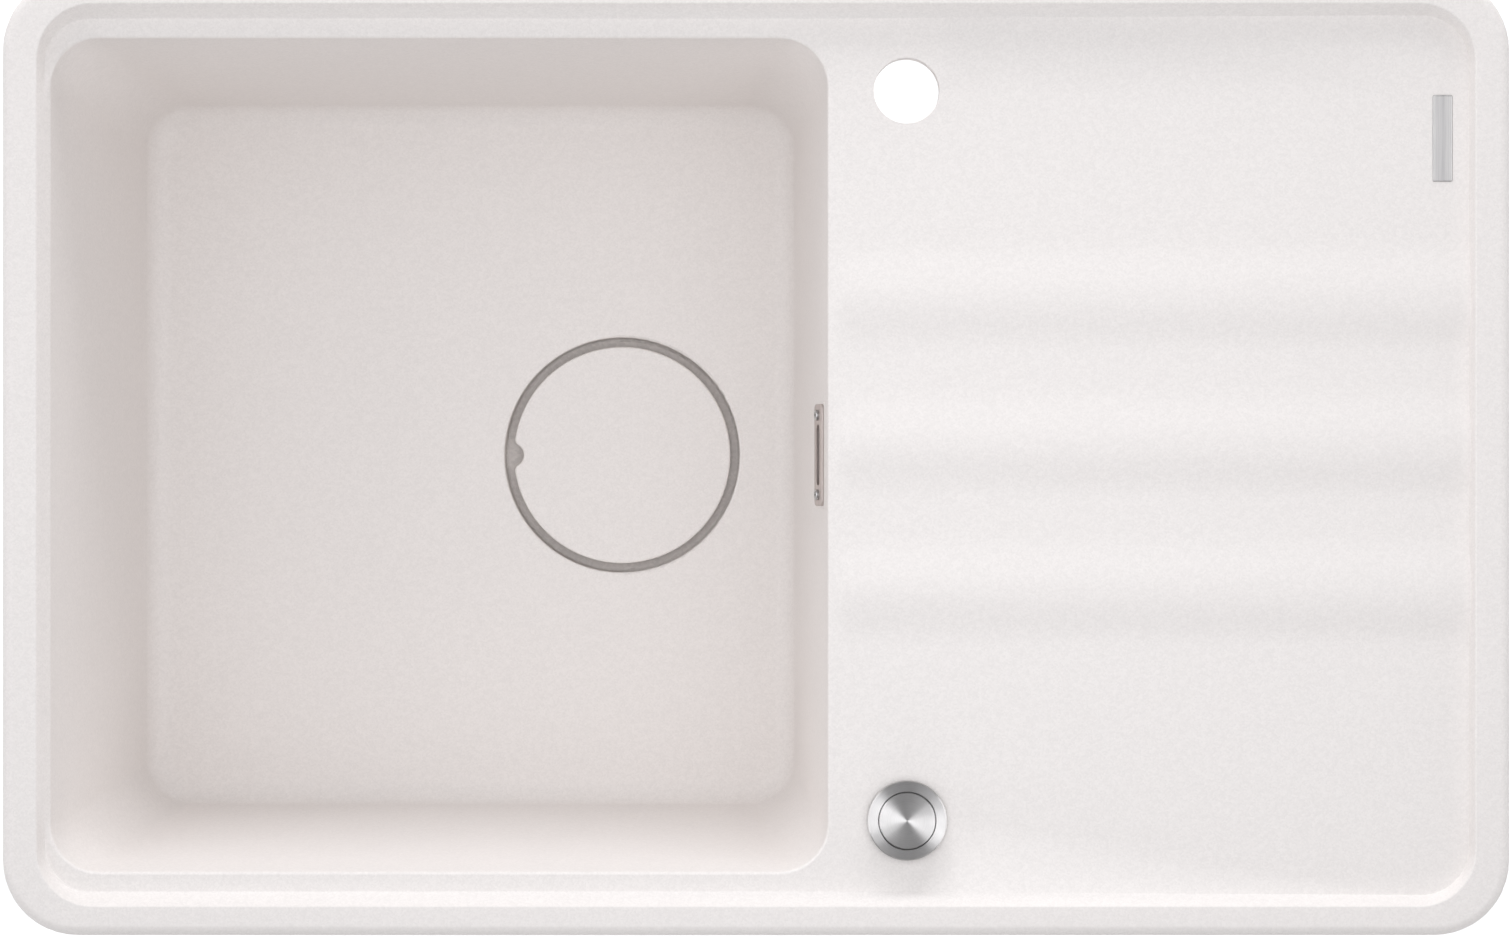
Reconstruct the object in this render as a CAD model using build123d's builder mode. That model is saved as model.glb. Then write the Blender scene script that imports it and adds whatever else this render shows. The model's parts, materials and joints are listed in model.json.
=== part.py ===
# Inset granite kitchen sink: bowl, ridged drainer, pop-up waste, overflow, push button, worktop clips.
# Millimetres. Origin: middle of the plan on the worktop plane. +X to the drainer, +Y to the back, +Z up.
import os
from math import asin, cos, degrees, pi, radians, sin, sqrt

from build123d import *

os.makedirs("parts", exist_ok=True)

# Outline and rim of the sink
sink_length = 800.0
sink_width = 510.0
corner_radius = 40.0
rim_height = 10.0
rim_side = 19.0  # width of the rim at the two short ends
rim_front = 16.0  # width of the rim along front and back
rim_round = 6.0
rim_inner_radius = 30.0
rim_inner_round = 1.2
bevel_side = 2.6
bevel_front = 6.5
bevel_foot_radius = 24.0
bevel_foot_round = 1.0
seat_width = 12.0  # part of the rim that lies on the worktop
seat_round = 1.5

# Deck and ridged drainer
deck_drop = 9.0
deck_thickness = 9.0
skirt_drop = 12.0
drainer_fall = 2.0
ridge_height = 2.5
ridge_width = 60.0
ridge_pitch = 78.0
ridge_middle = 6.0
ridge_start = 3.0
ridge_fade = 8.0

# Bowl
bowl_length = 414.0
bowl_depth = 200.0
bowl_corner = 26.0
bowl_inset = 16.0  # draft of the walls over the full depth
bowl_ledge = 2.6
front_ledge = 10.5
bowl_floor_round = 14.0
bowl_edge_round = 1.8
wall = 9.0

# Drain recess and its cover
drain_from_edge = 118.0
recess_radius = 70.0
recess_depth = 14.0
recess_seat = 10.0
recess_wall = 9.0
recess_edge_round = 1.5
recess_corner_round = 2.0
drain_hole_radius = 45.0
cover_gap = 5.5
cover_thickness = 8.0
cover_round = 1.4
cover_chamfer = 0.8
notch_depth = 5.8
notch_radius = 7.0
notch_corner = 4.0
foot_radius = 3.5
foot_clearance = 1.0
foot_chamfer = 0.6
foot_stud_radius = 2.0
foot_stud_depth = 4.0

# Holes in the deck, badge and overflow
hole_radius = 17.5
hole_from_bowl = 42.0
hole_from_edge = 61.0
badge_length = 46.0
badge_width = 10.6
badge_thickness = 0.9
badge_sink = 0.6
badge_gap = 0.1
badge_corner = 1.0
badge_round = 0.25
badge_from_end = 35.0
badge_from_back = 86.6
overflow_drop = 25.0
overflow_lean = 12.0  # degrees that the overflow face leans from upright
overflow_proud = 0.3
overflow_depth = 14.0
overflow_length = 55.0
overflow_height = 18.0
overflow_corner = 3.0
overflow_sheet = 1.2
overflow_edge_round = 0.5
overflow_slot = 33.0
overflow_slot_height = 7.0
overflow_screw_span = 43.0
overflow_screw_radius = 1.8
overflow_screw_head = 2.9
overflow_head_height = 1.7
overflow_head_round = 0.8
overflow_cross = 3.2
overflow_cross_width = 0.9
overflow_frame = 1.5
overflow_gasket_thickness = 2.0

# Shared fits
running_gap = 0.08
thread_gap = 0.05
loose_gap = 0.3
sheet = 1.5

# Waste
lift_travel = 8.0
basket_headroom = 1.0
cup_flange_radius = 56.0
cup_gasket_thickness = 1.5
cup_depth = 37.5
seat_top_radius = 42.5
seat_bottom_radius = 37.0
seat_top_drop = 2.0
seat_bottom_drop = 11.0
cup_hole_ring = 24.0
cup_hole_radius = 7.0
basket_sheet = 1.2
basket_floor_radius = 30.5
basket_rim_radius = 38.5
basket_depth = 23.0
basket_flare = 5.0
basket_slot_ring = 20.0
basket_slot_count = 12
basket_slot_length = 13.0
basket_slot_width = 3.2
seal_height = 3.3
knob_radius = 8.0
knob_head = 5.0
knob_neck = 9.0
clamp_head_radius = 9.5
clamp_head_height = 4.0
clamp_shank_radius = 6.0
pin_radius = 2.5
pin_head_radius = 4.0
pin_head_height = 1.2
waste_gasket_thickness = 2.0
waste_flange_radius = 62.0
waste_flange_thickness = 5.0
chamber_radius = 45.0
plastic_wall = 3.5
spider_radius = 9.0
spider_height = 10.0
spider_rib = 5.0
funnel_drop = 18.0
tail_radius = 23.9
tail_bore = 20.0
tail_length = 24.0
port_length = 24.0
port_drop = 3.0

# Crank
finger_length = 16.0
finger_tip = 3.0
finger_gap = 0.5
finger_width = 7.0
spindle_radius = 3.9
spindle_boss_radius = 8.0
spindle_boss_length = 12.0
o_ring_wire = 1.4
gland_nut_flats = 24.0
gland_nut_length = 12.0
gland_nut_cover = 6.0
crank_plate = 4.0
crank_length = 22.0
crank_hub_radius = 7.5
crank_eye_radius = 1.6
bracket_reach = 26.0
bracket_plate = 3.5
bracket_half = 8.0
bracket_gusset = 20.0
cable_bore = 1.5
cable_gland_radius = 4.5
cable_gland_length = 14.0
cable_gland_tip = 3.0
cable_gland_neck = 3.5
gland_chamfer = 1.0
crank_gap = 2.0

# Overflow pipe
pipe_radius = 11.0
pipe_wall = 2.0
pipe_bend = 32.0
pipe_entry = 14.0
socket_radius = 14.0
socket_drop = 6.0
socket_length = 38.0
socket_dome = 12.0
socket_dome_round = 6.0
socket_gap = 1.5
elbow_flange = 4.0
elbow_boss_radius = 4.2
elbow_boss_length = 12.0
elbow_throat = 16.0
elbow_lip = 1.0
nut_radius = 19.0
nut_length = 19.0
nut_lip = 2.5
cone_seal_height = 2.5

# Push button
button_travel = 8.0
bezel_radius = 21.0
bezel_height = 5.5
bezel_chamfer = 0.7
bezel_gasket_thickness = 1.2
cap_radius = 15.0
cap_thickness = 4.0
cap_gap = 0.4
cap_chamfer = 0.5
tube_radius = 17.0
tube_length = 42.0
tube_floor = 3.0
plunger_radius = 6.0
spring_radius = 11.5
spring_wire = 1.6
spring_turns = 6
bezel_nut_flats = 50.0
bezel_nut_thickness = 8.0
bezel_nut_chamfer = 0.8
bezel_washer_thickness = 2.0
housing_wall = 3.0
housing_overlap = 8.0
housing_depth = 44.0
carriage_radius = 12.0
carriage_thickness = 6.0
carriage_drop = 10.0
carriage_gap = 1.0
housing_chamfer = 6.0
housing_floor = 4.0
housing_gland_length = 12.0

# Worktop clips
worktop_thickness = 36.0
clip_pitch = 200.0
clip_first = -280.0
clip_count = 4
clip_width = 20.0
clip_sheet = 2.0
clip_bend = 1.0  # radius inside the bends
clip_reach = 9.0
clip_screw_radius = 2.5
clip_screw_head = 4.2
clip_screw_chamfer = 0.8
clip_head_height = 3.0
clip_socket = 2.2
clip_socket_depth = 1.8
clip_screw_bite = 9.0

# Levels and positions that follow from the sizes
deck_level = rim_height - deck_drop
floor_level = rim_height - bowl_depth
slab_bottom = deck_level - deck_thickness
skirt_bottom = slab_bottom - skirt_drop
shell_bottom = floor_level - wall
recess_floor = floor_level - recess_depth
recess_bottom = recess_floor - recess_seat
bowl_width = sink_width - 2 * (rim_front + bevel_front + front_ledge)
bowl_left = rim_side + bevel_side + bowl_ledge - sink_length / 2
bowl_right = bowl_left + bowl_length
bowl_middle = (bowl_left + bowl_right) / 2
drain_x = bowl_right - drain_from_edge
hole_x = bowl_right + hole_from_bowl
hole_y = sink_width / 2 - hole_from_edge
skirt_length = sink_length - 2 * seat_width
skirt_width = sink_width - 2 * seat_width
skirt_radius = corner_radius - seat_width
skirt_wall = (skirt_width - bowl_width) / 2 - wall + 2
drainer_start = bowl_right + ridge_start
drainer_end = sink_length / 2 - rim_side
drain_axis = Axis((drain_x, 0, 0), (0, 0, 1))
drain_plane = Plane(origin=(drain_x, 0, 0), x_dir=(1, 0, 0), z_dir=(0, -1, 0))


def inset_at(level):
    return bowl_inset * (deck_level - level) / (deck_level - floor_level)


def deck_at(x):
    return deck_level + drainer_fall * (x - drainer_start) / (drainer_end - drainer_start)


# Overflow face: a plane that leans out of the bowl's right wall
overflow_level = deck_level - overflow_drop
overflow_top = overflow_level + overflow_height / 2 * cos(radians(overflow_lean))
overflow_x = bowl_right - inset_at(overflow_top) - overflow_proud
overflow_x -= overflow_height / 2 * sin(radians(overflow_lean))
overflow_plane = Plane(
    origin=(overflow_x, 0, overflow_level),
    x_dir=(0, 1, 0),
    z_dir=(-cos(radians(overflow_lean)), 0, sin(radians(overflow_lean))),
)

# Clip positions along the back edge
clip_y = skirt_width / 2 - skirt_wall / 2
clip_places = [(clip_first + clip_pitch * number, clip_y) for number in range(clip_count)]

# Space above the deck, inside the bevelled rim
with BuildPart() as deck_space:
    with BuildSketch(Plane.XY.offset(deck_level)):
        RectangleRounded(
            sink_length - 2 * (rim_side + bevel_side),
            sink_width - 2 * (rim_front + bevel_front),
            bevel_foot_radius,
        )
    with BuildSketch(Plane.XY.offset(rim_height)):
        RectangleRounded(sink_length - 2 * rim_side, sink_width - 2 * rim_front, rim_inner_radius)
    loft(ruled=True)
    extrude(deck_space.faces().sort_by(Axis.Z)[-1], amount=2)
    fillet(deck_space.faces().sort_by(Axis.Z)[0].edges(), bevel_foot_round)

# Space inside the drafted bowl
with BuildPart() as bowl_space:
    for level in (deck_level + 2, floor_level):
        with BuildSketch(Plane.XY.offset(level)):
            with Locations((bowl_middle, 0)):
                RectangleRounded(
                    bowl_length - 2 * inset_at(level), bowl_width - 2 * inset_at(level), bowl_corner
                )
    loft(ruled=True)
    fillet(bowl_space.faces().sort_by(Axis.Z)[0].edges(), bowl_floor_round)

# Outside of the bowl
with BuildPart() as bowl_shell:
    for level in (deck_level - 2, shell_bottom):
        with BuildSketch(Plane.XY.offset(level)):
            with Locations((bowl_middle, 0)):
                RectangleRounded(
                    bowl_length + 2 * (wall - inset_at(level)),
                    bowl_width + 2 * (wall - inset_at(level)),
                    bowl_corner + wall,
                )
    loft(ruled=True)
    fillet(bowl_shell.faces().sort_by(Axis.Z)[0].edges(), bowl_floor_round + wall - 2)

# Falling drainer surface with its three ridges, each three tangent arcs across
drainer_sections = [
    (drainer_start, deck_level - 0.3, 0.2),
    (drainer_start + ridge_fade, deck_at(drainer_start + ridge_fade), ridge_height),
    (drainer_end, deck_at(drainer_end), ridge_height),
]
drainer_half = sink_width / 2 - rim_front - bevel_front / 2
ridge_centres = [ridge_middle + ridge_pitch * step for step in (-1, 0, 1)]
with BuildPart() as drainer:
    for x, base, height in drainer_sections:
        with BuildSketch(Plane(origin=(x, 0, 0), x_dir=(0, 1, 0), z_dir=(1, 0, 0))):
            with BuildLine():
                last = (-drainer_half, base)
                for centre in ridge_centres:
                    foot = (centre - ridge_width / 2, base)
                    rise = (centre - ridge_width / 4, base + height / 2)
                    fall = (centre + ridge_width / 4, base + height / 2)
                    Line(last, foot)
                    TangentArc(foot, rise, tangent=(1, 0))
                    ThreePointArc(rise, (centre, base + height), fall)
                    last = (centre + ridge_width / 2, base)
                    TangentArc(last, fall, tangent=(-1, 0))
                Polyline(
                    last,
                    (drainer_half, base),
                    (drainer_half, slab_bottom + 4),
                    (-drainer_half, slab_bottom + 4),
                    (-drainer_half, base),
                )
            make_face()
    loft(ruled=True)

# Moulded granite sink
with BuildPart() as sink_body:
    with BuildSketch():
        RectangleRounded(sink_length, sink_width, corner_radius)
    extrude(amount=rim_height)
    fillet(sink_body.faces().sort_by(Axis.Z)[-1].edges(), rim_round)
    fillet(sink_body.faces().sort_by(Axis.Z)[0].edges(), seat_round)
    with BuildSketch():
        RectangleRounded(skirt_length, skirt_width, skirt_radius)
    extrude(amount=slab_bottom)
    with BuildSketch(Plane.XY.offset(slab_bottom)):
        RectangleRounded(skirt_length, skirt_width, skirt_radius)
        RectangleRounded(
            skirt_length - 2 * skirt_wall, skirt_width - 2 * skirt_wall, skirt_radius - skirt_wall / 2,
            mode=Mode.SUBTRACT,
        )
    extrude(amount=-skirt_drop)
    add(bowl_shell.part)
    with BuildSketch(Plane.XY.offset(shell_bottom + wall / 2)):
        with Locations((drain_x, 0)):
            Circle(recess_radius + recess_wall)
    extrude(amount=recess_bottom - shell_bottom - wall / 2)
    add(deck_space.part, mode=Mode.SUBTRACT)
    top_face = sink_body.faces().filter_by(Axis.Z).sort_by(Axis.Z)[-1]
    fillet(top_face.inner_wires()[0].edges(), rim_inner_round)
    add(bowl_space.part, mode=Mode.SUBTRACT)
    opening = [
        edge
        for edge in sink_body.edges()
        if abs(edge.bounding_box().min.Z - deck_level) < 0.01
        and abs(edge.bounding_box().max.Z - deck_level) < 0.01
        and edge.bounding_box().min.X > bowl_left - 0.2
        and edge.bounding_box().max.X < bowl_right + 0.2
        and abs(edge.center().Y) < bowl_width / 2 + 0.2
    ]
    fillet(opening, bowl_edge_round)
    add(drainer.part)
    # Block that carries the overflow through the wall
    with BuildSketch(overflow_plane):
        RectangleRounded(
            overflow_length + 2 * overflow_frame, overflow_height + 2 * overflow_frame, overflow_corner + 1
        )
    extrude(amount=-overflow_depth)
    with BuildSketch(overflow_plane.offset(6)):
        SlotOverall(overflow_slot + 2, overflow_slot_height + 3)
        with Locations((-overflow_screw_span / 2, 0), (overflow_screw_span / 2, 0)):
            Circle(overflow_screw_radius + loose_gap)
    extrude(amount=-overflow_depth - 8, mode=Mode.SUBTRACT)
    # Drain recess, tap hole and control hole
    with Locations((drain_x, 0, floor_level)):
        CounterBoreHole(drain_hole_radius, recess_radius, recess_depth, depth=recess_depth + recess_seat + 2)
    with Locations((hole_x, hole_y, deck_level + 4), (hole_x, -hole_y, deck_level + 4)):
        Hole(hole_radius, depth=deck_thickness + 8)
    recess_edge = sink_body.edges().filter_by(GeomType.CIRCLE).filter_by(
        lambda edge: abs(edge.radius - recess_radius) < 0.01 and abs(edge.center().Z - floor_level) < 0.01
    )
    fillet(recess_edge, recess_edge_round)
    recess_corner = sink_body.edges().filter_by(GeomType.CIRCLE).filter_by(
        lambda edge: abs(edge.radius - recess_radius) < 0.01 and abs(edge.center().Z - recess_floor) < 0.01
    )
    fillet(recess_corner, recess_corner_round)
    # Pocket for the badge plate and blind holes for the clip screws
    with BuildSketch(Plane.XY.offset(rim_height)):
        with Locations((sink_length / 2 - badge_from_end, sink_width / 2 - badge_from_back)):
            RectangleRounded(
                badge_width + 2 * badge_gap, badge_length + 2 * badge_gap, badge_corner + badge_gap
            )
    extrude(
        amount=deck_at(sink_length / 2 - badge_from_end) - badge_sink - rim_height, mode=Mode.SUBTRACT
    )
    with BuildSketch(Plane.XY.offset(skirt_bottom - 1)):
        with Locations(clip_places, [(x, -y) for x, y in clip_places]):
            Circle(clip_screw_radius + thread_gap)
    extrude(amount=clip_screw_bite + 2, mode=Mode.SUBTRACT)
sink_body.part.label = "sink_body"
export_step(sink_body.part, "parts/sink_body.step")

# Bare badge plate
badge_level = deck_at(sink_length / 2 - badge_from_end) - badge_sink
with BuildPart() as badge_plate:
    with BuildSketch(Plane.XY.offset(badge_level)):
        with Locations((sink_length / 2 - badge_from_end, sink_width / 2 - badge_from_back)):
            RectangleRounded(badge_width, badge_length, badge_corner)
    extrude(amount=badge_thickness)
    fillet(badge_plate.faces().sort_by(Axis.Z)[-1].edges(), badge_round)
badge_plate.part.label = "badge_plate"
export_step(badge_plate.part, "parts/badge_plate.step")

# Drain cover with its finger notch
cover_radius = recess_radius - cover_gap
cover_bottom = floor_level - cover_thickness
foot_ring = cup_flange_radius + foot_clearance + foot_radius
with BuildPart() as drain_cover:
    with BuildSketch(Plane.XY.offset(cover_bottom)) as cover_outline:
        with Locations((drain_x, 0)):
            Circle(cover_radius)
        with Locations((drain_x - cover_radius + notch_depth - notch_radius, 0)):
            Circle(notch_radius, mode=Mode.SUBTRACT)
        fillet(cover_outline.vertices().filter_by_position(
            Axis.X, drain_x - cover_radius - 1, drain_x - cover_radius / 2), notch_corner)
    extrude(amount=cover_thickness)
    fillet(drain_cover.faces().sort_by(Axis.Z)[-1].edges(), cover_round)
    chamfer(drain_cover.faces().sort_by(Axis.Z)[0].edges(), cover_chamfer)
    with BuildSketch(Plane.XY.offset(cover_bottom)):
        with Locations((drain_x, 0)):
            with PolarLocations(foot_ring, 3):
                Circle(foot_stud_radius)
    extrude(amount=foot_stud_depth, mode=Mode.SUBTRACT)
drain_cover.part.label = "drain_cover"
export_step(drain_cover.part, "parts/drain_cover.step")

# Rubber feet of the cover
with BuildPart() as cover_feet:
    with BuildSketch(Plane.XY.offset(recess_floor)):
        with Locations((drain_x, 0)):
            with PolarLocations(foot_ring, 3):
                Circle(foot_radius)
    extrude(amount=cover_bottom - recess_floor)
    chamfer(cover_feet.faces().group_by(Axis.Z)[0].edges(), foot_chamfer)
    with BuildSketch(Plane.XY.offset(cover_bottom)):
        with Locations((drain_x, 0)):
            with PolarLocations(foot_ring, 3):
                Circle(foot_stud_radius)
    extrude(amount=foot_stud_depth)
cover_feet.part.label = "cover_feet"
export_step(cover_feet.part, "parts/cover_feet.step")

# Levels of the waste
flange_top = recess_floor + cup_gasket_thickness + sheet
cup_floor = flange_top - cup_depth
spider_top = cup_floor - sheet
spider_bottom = spider_top - spider_height
basket_top = cover_bottom - lift_travel - basket_headroom
basket_floor = basket_top - basket_depth
pin_bottom = spider_bottom - lift_travel - 2.0
waste_top = recess_bottom - waste_gasket_thickness
waste_flange_bottom = waste_top - waste_flange_thickness
chamber_outer = chamber_radius + plastic_wall
half_swing = asin(lift_travel / 2 / finger_length)
spindle_x = drain_x + finger_length * (1 + cos(half_swing)) / 2
spindle_z = pin_bottom - finger_gap - finger_tip + lift_travel / 2
chamber_bottom = spindle_z - spindle_boss_radius - 1.0
funnel_bottom = chamber_bottom - funnel_drop
tail_bottom = funnel_bottom - tail_length
port_z = waste_flange_bottom - port_drop - nut_radius
port_end = drain_x + chamber_outer + port_length
boss_end = -chamber_outer - spindle_boss_length
nut_end = boss_end - gland_nut_length + gland_nut_cover
crank_y = nut_end - crank_gap

# Rubber ring under the cup's flange
with BuildPart() as cup_gasket:
    with BuildSketch(Plane.XY.offset(recess_floor)):
        with Locations((drain_x, 0)):
            Circle(cup_flange_radius - 1)
            Circle(drain_hole_radius + 2, mode=Mode.SUBTRACT)
    extrude(amount=cup_gasket_thickness)
cup_gasket.part.label = "cup_gasket"
export_step(cup_gasket.part, "parts/cup_gasket.step")

# Pressed strainer cup with its cone seat and drain holes
with BuildPart() as strainer_cup:
    with BuildSketch(drain_plane):
        with BuildLine():
            FilletPolyline(
                (clamp_shank_radius + loose_gap, cup_floor),
                (seat_bottom_radius, cup_floor),
                (seat_bottom_radius, flange_top - seat_bottom_drop),
                (seat_top_radius, flange_top - seat_top_drop),
                (seat_top_radius + 2, flange_top),
                (cup_flange_radius, flange_top),
                (cup_flange_radius, flange_top - sheet),
                (seat_top_radius + 2 + sheet / 2, flange_top - sheet),
                (seat_top_radius + sheet * 0.9, flange_top - seat_top_drop - sheet / 2),
                (seat_bottom_radius + sheet, flange_top - seat_bottom_drop - sheet / 2),
                (seat_bottom_radius + sheet, spider_top),
                (clamp_shank_radius + loose_gap, spider_top),
                close=True,
                radius=(0, 2, 0, 0, 0, 0, 0, 0, 0, 0, 3, 0),
            )
        make_face()
    revolve(axis=drain_axis)
    with BuildSketch(Plane.XY.offset(cup_floor + 1)):
        with Locations((drain_x, 0)):
            with PolarLocations(cup_hole_ring, 8):
                Circle(cup_hole_radius)
    extrude(amount=-sheet - 2, mode=Mode.SUBTRACT)
strainer_cup.part.label = "strainer_cup"
export_step(strainer_cup.part, "parts/strainer_cup.step")

# Rubber ring between sink and waste body
with BuildPart() as drain_gasket:
    with BuildSketch(Plane.XY.offset(waste_top)):
        with Locations((drain_x, 0)):
            Circle(waste_flange_radius - 1)
            Circle(drain_hole_radius + 2, mode=Mode.SUBTRACT)
    extrude(amount=waste_gasket_thickness)
drain_gasket.part.label = "drain_gasket"
export_step(drain_gasket.part, "parts/drain_gasket.step")

# Plastic waste body: chamber, funnel, outlet tail, spider, overflow port, spindle port, cable bracket
port_plane = Plane.YZ.offset(drain_x + chamber_radius)
spindle_plane = Plane(origin=(spindle_x, boss_end, spindle_z), x_dir=(1, 0, 0), z_dir=(0, -1, 0))
bracket_x = spindle_x + bracket_reach
bracket_y = crank_y - crank_plate / 2
bracket_z = spindle_z + crank_length
bracket_side = bracket_x - bracket_plate / 2 - drain_x
bracket_root = -sqrt((chamber_radius + plastic_wall / 2) ** 2 - bracket_side**2)
with BuildPart() as drain_body:
    with BuildSketch(drain_plane):
        with BuildLine():
            Polyline(
                (chamber_radius, waste_top),
                (chamber_radius, chamber_bottom),
                (tail_bore, funnel_bottom),
                (tail_bore, tail_bottom),
                (tail_radius, tail_bottom),
                (tail_radius, funnel_bottom - plastic_wall / 2),
                (chamber_outer, chamber_bottom - plastic_wall / 2),
                (chamber_outer, waste_flange_bottom),
                (waste_flange_radius, waste_flange_bottom),
                (waste_flange_radius, waste_top),
                close=True,
            )
        make_face()
    revolve(axis=drain_axis)
    # Spider that takes the hollow screw
    with BuildSketch(Plane.XY.offset(spider_top)):
        with Locations((drain_x, 0)):
            Circle(spider_radius)
    extrude(amount=-spider_height)
    with BuildSketch(Plane.XY.offset(spider_top)):
        for angle in (90, 180, 270):
            with Locations(Location((drain_x, 0, 0), (0, 0, angle))):
                with Locations(((chamber_radius + 1) / 2, 0)):
                    Rectangle(chamber_radius + 1, spider_rib)
    extrude(amount=-spider_height * 0.6)
    with BuildSketch(Plane.XY.offset(spider_top + 1)):
        with Locations((drain_x, 0)):
            Circle(clamp_shank_radius + thread_gap)
    extrude(amount=-spider_height - 2, mode=Mode.SUBTRACT)
    # Overflow port
    with BuildSketch(port_plane):
        with Locations((0, port_z)):
            Circle(socket_radius)
    extrude(amount=port_end - drain_x - chamber_radius)
    with BuildSketch(port_plane.offset(-4)):
        with Locations((0, port_z)):
            Circle(pipe_radius - pipe_wall)
    extrude(amount=port_end - drain_x - chamber_radius + 6, mode=Mode.SUBTRACT)
    with BuildSketch(Plane.YZ.offset(port_end)):
        with Locations((0, port_z)):
            Circle(pipe_radius + 0.1)
    extrude(amount=-pipe_entry, mode=Mode.SUBTRACT)
    # Spindle port with the pocket for its ring
    with BuildSketch(spindle_plane):
        Circle(spindle_boss_radius)
    extrude(amount=-spindle_boss_length - plastic_wall - 3)
    with BuildSketch(spindle_plane.offset(1)):
        Circle(spindle_radius + running_gap)
    extrude(amount=-spindle_boss_length - chamber_outer / 2, mode=Mode.SUBTRACT)
    with BuildSketch(spindle_plane):
        Circle(spindle_radius + 2 * o_ring_wire + 0.3)
    extrude(amount=-2 * o_ring_wire, mode=Mode.SUBTRACT)
    # Bracket for the cable stop
    with BuildSketch(Plane.YZ.offset(bracket_x)):
        with BuildLine():
            Polyline(
                (bracket_root, bracket_z + bracket_half),
                (bracket_y - bracket_half, bracket_z + bracket_half),
                (bracket_y - bracket_half, bracket_z - bracket_half),
                (bracket_y + bracket_half, bracket_z - bracket_half),
                (bracket_root, bracket_z - bracket_gusset),
                close=True,
            )
        make_face()
    extrude(amount=-bracket_plate)
    with BuildSketch(Plane.YZ.offset(bracket_x + 1)):
        with Locations((bracket_y, bracket_z)):
            Circle(cable_gland_neck + thread_gap)
    extrude(amount=-bracket_plate - 2, mode=Mode.SUBTRACT)
drain_body.part.label = "drain_body"
export_step(drain_body.part, "parts/drain_body.step")

# Hollow clamp screw
with BuildPart() as clamp_screw:
    with BuildSketch(drain_plane):
        with BuildLine():
            Polyline(
                (pin_radius + loose_gap, cup_floor + clamp_head_height),
                (clamp_head_radius - 1, cup_floor + clamp_head_height),
                (clamp_head_radius, cup_floor + clamp_head_height - 1),
                (clamp_head_radius, cup_floor),
                (clamp_shank_radius, cup_floor),
                (clamp_shank_radius, spider_bottom + 0.5),
                (pin_radius + loose_gap, spider_bottom + 0.5),
                close=True,
            )
        make_face()
    revolve(axis=drain_axis)
    with BuildSketch(Plane.XY.offset(cup_floor + clamp_head_height)):
        with Locations((drain_x, 0)):
            Rectangle(2 * clamp_head_radius + 1, 2)
    extrude(amount=-clamp_head_height / 2, mode=Mode.SUBTRACT)
clamp_screw.part.label = "clamp_screw"
export_step(clamp_screw.part, "parts/clamp_screw.step")

# Basket plug
basket_wall_radius = basket_floor_radius + basket_flare
with BuildPart() as basket:
    with BuildSketch(drain_plane):
        with BuildLine():
            Polyline(
                (0, basket_floor),
                (basket_floor_radius, basket_floor),
                (basket_wall_radius, basket_top),
                (basket_rim_radius, basket_top),
                (basket_rim_radius, basket_top - basket_sheet),
                (basket_wall_radius + basket_sheet, basket_top - basket_sheet),
                (basket_floor_radius + basket_sheet, basket_floor - basket_sheet),
                (0, basket_floor - basket_sheet),
                close=True,
            )
        make_face()
    revolve(axis=drain_axis)
    with BuildSketch(Plane.XY.offset(basket_floor + 1)):
        with Locations((drain_x, 0)):
            with PolarLocations(basket_slot_ring, basket_slot_count):
                SlotOverall(basket_slot_length, basket_slot_width)
    extrude(amount=-basket_sheet - 2, mode=Mode.SUBTRACT)
basket.part.label = "basket"
export_step(basket.part, "parts/basket.step")

# Rubber seal under the basket's rim, a hair inside the cone seat
seat_slope = (seat_top_radius - seat_bottom_radius) / (seat_bottom_drop - seat_top_drop)
seal_top = basket_top - basket_sheet
seal_outer = seat_bottom_radius + seat_slope * (seal_top - flange_top + seat_bottom_drop) - 0.4
seal_inner = basket_wall_radius + basket_sheet
seal_drop = seal_height * basket_flare / basket_depth
with BuildPart() as basket_seal:
    with BuildSketch(drain_plane):
        with BuildLine():
            Polyline(
                (seal_inner, seal_top),
                (seal_outer, seal_top),
                (seal_outer - seat_slope * seal_height, seal_top - seal_height),
                (seal_inner - seal_drop, seal_top - seal_height),
                close=True,
            )
        make_face()
    revolve(axis=drain_axis)
basket_seal.part.label = "basket_seal"
export_step(basket_seal.part, "parts/basket_seal.step")

# Grip knob of the basket
with BuildPart() as basket_knob:
    with BuildSketch(drain_plane):
        with BuildLine():
            FilletPolyline(
                (0, basket_floor),
                (knob_radius * 0.75, basket_floor),
                (knob_radius * 0.4, basket_floor + knob_head),
                (knob_radius * 0.4, basket_top - knob_neck),
                (knob_radius, basket_top - knob_head),
                (knob_radius, basket_top - 0.5),
                (0, basket_top - 0.5),
                close=True,
                radius=(0, 0, 2, 2, 1, 1.5, 0),
            )
        make_face()
    revolve(axis=drain_axis)
basket_knob.part.label = "basket_knob"
export_step(basket_knob.part, "parts/basket_knob.step")

# Lift pin through the hollow screw
with BuildPart() as lift_pin:
    with BuildSketch(Plane.XY.offset(basket_floor - basket_sheet)):
        with Locations((drain_x, 0)):
            Circle(pin_head_radius)
    extrude(amount=-pin_head_height)
    with BuildSketch(Plane.XY.offset(basket_floor - basket_sheet - pin_head_height)):
        with Locations((drain_x, 0)):
            Circle(pin_radius)
    extrude(amount=pin_bottom - basket_floor + basket_sheet + pin_head_height)
    fillet(lift_pin.faces().sort_by(Axis.Z)[0].edges(), pin_radius - 0.3)
lift_pin.part.label = "lift_pin"
export_step(lift_pin.part, "parts/lift_pin.step")

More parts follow.
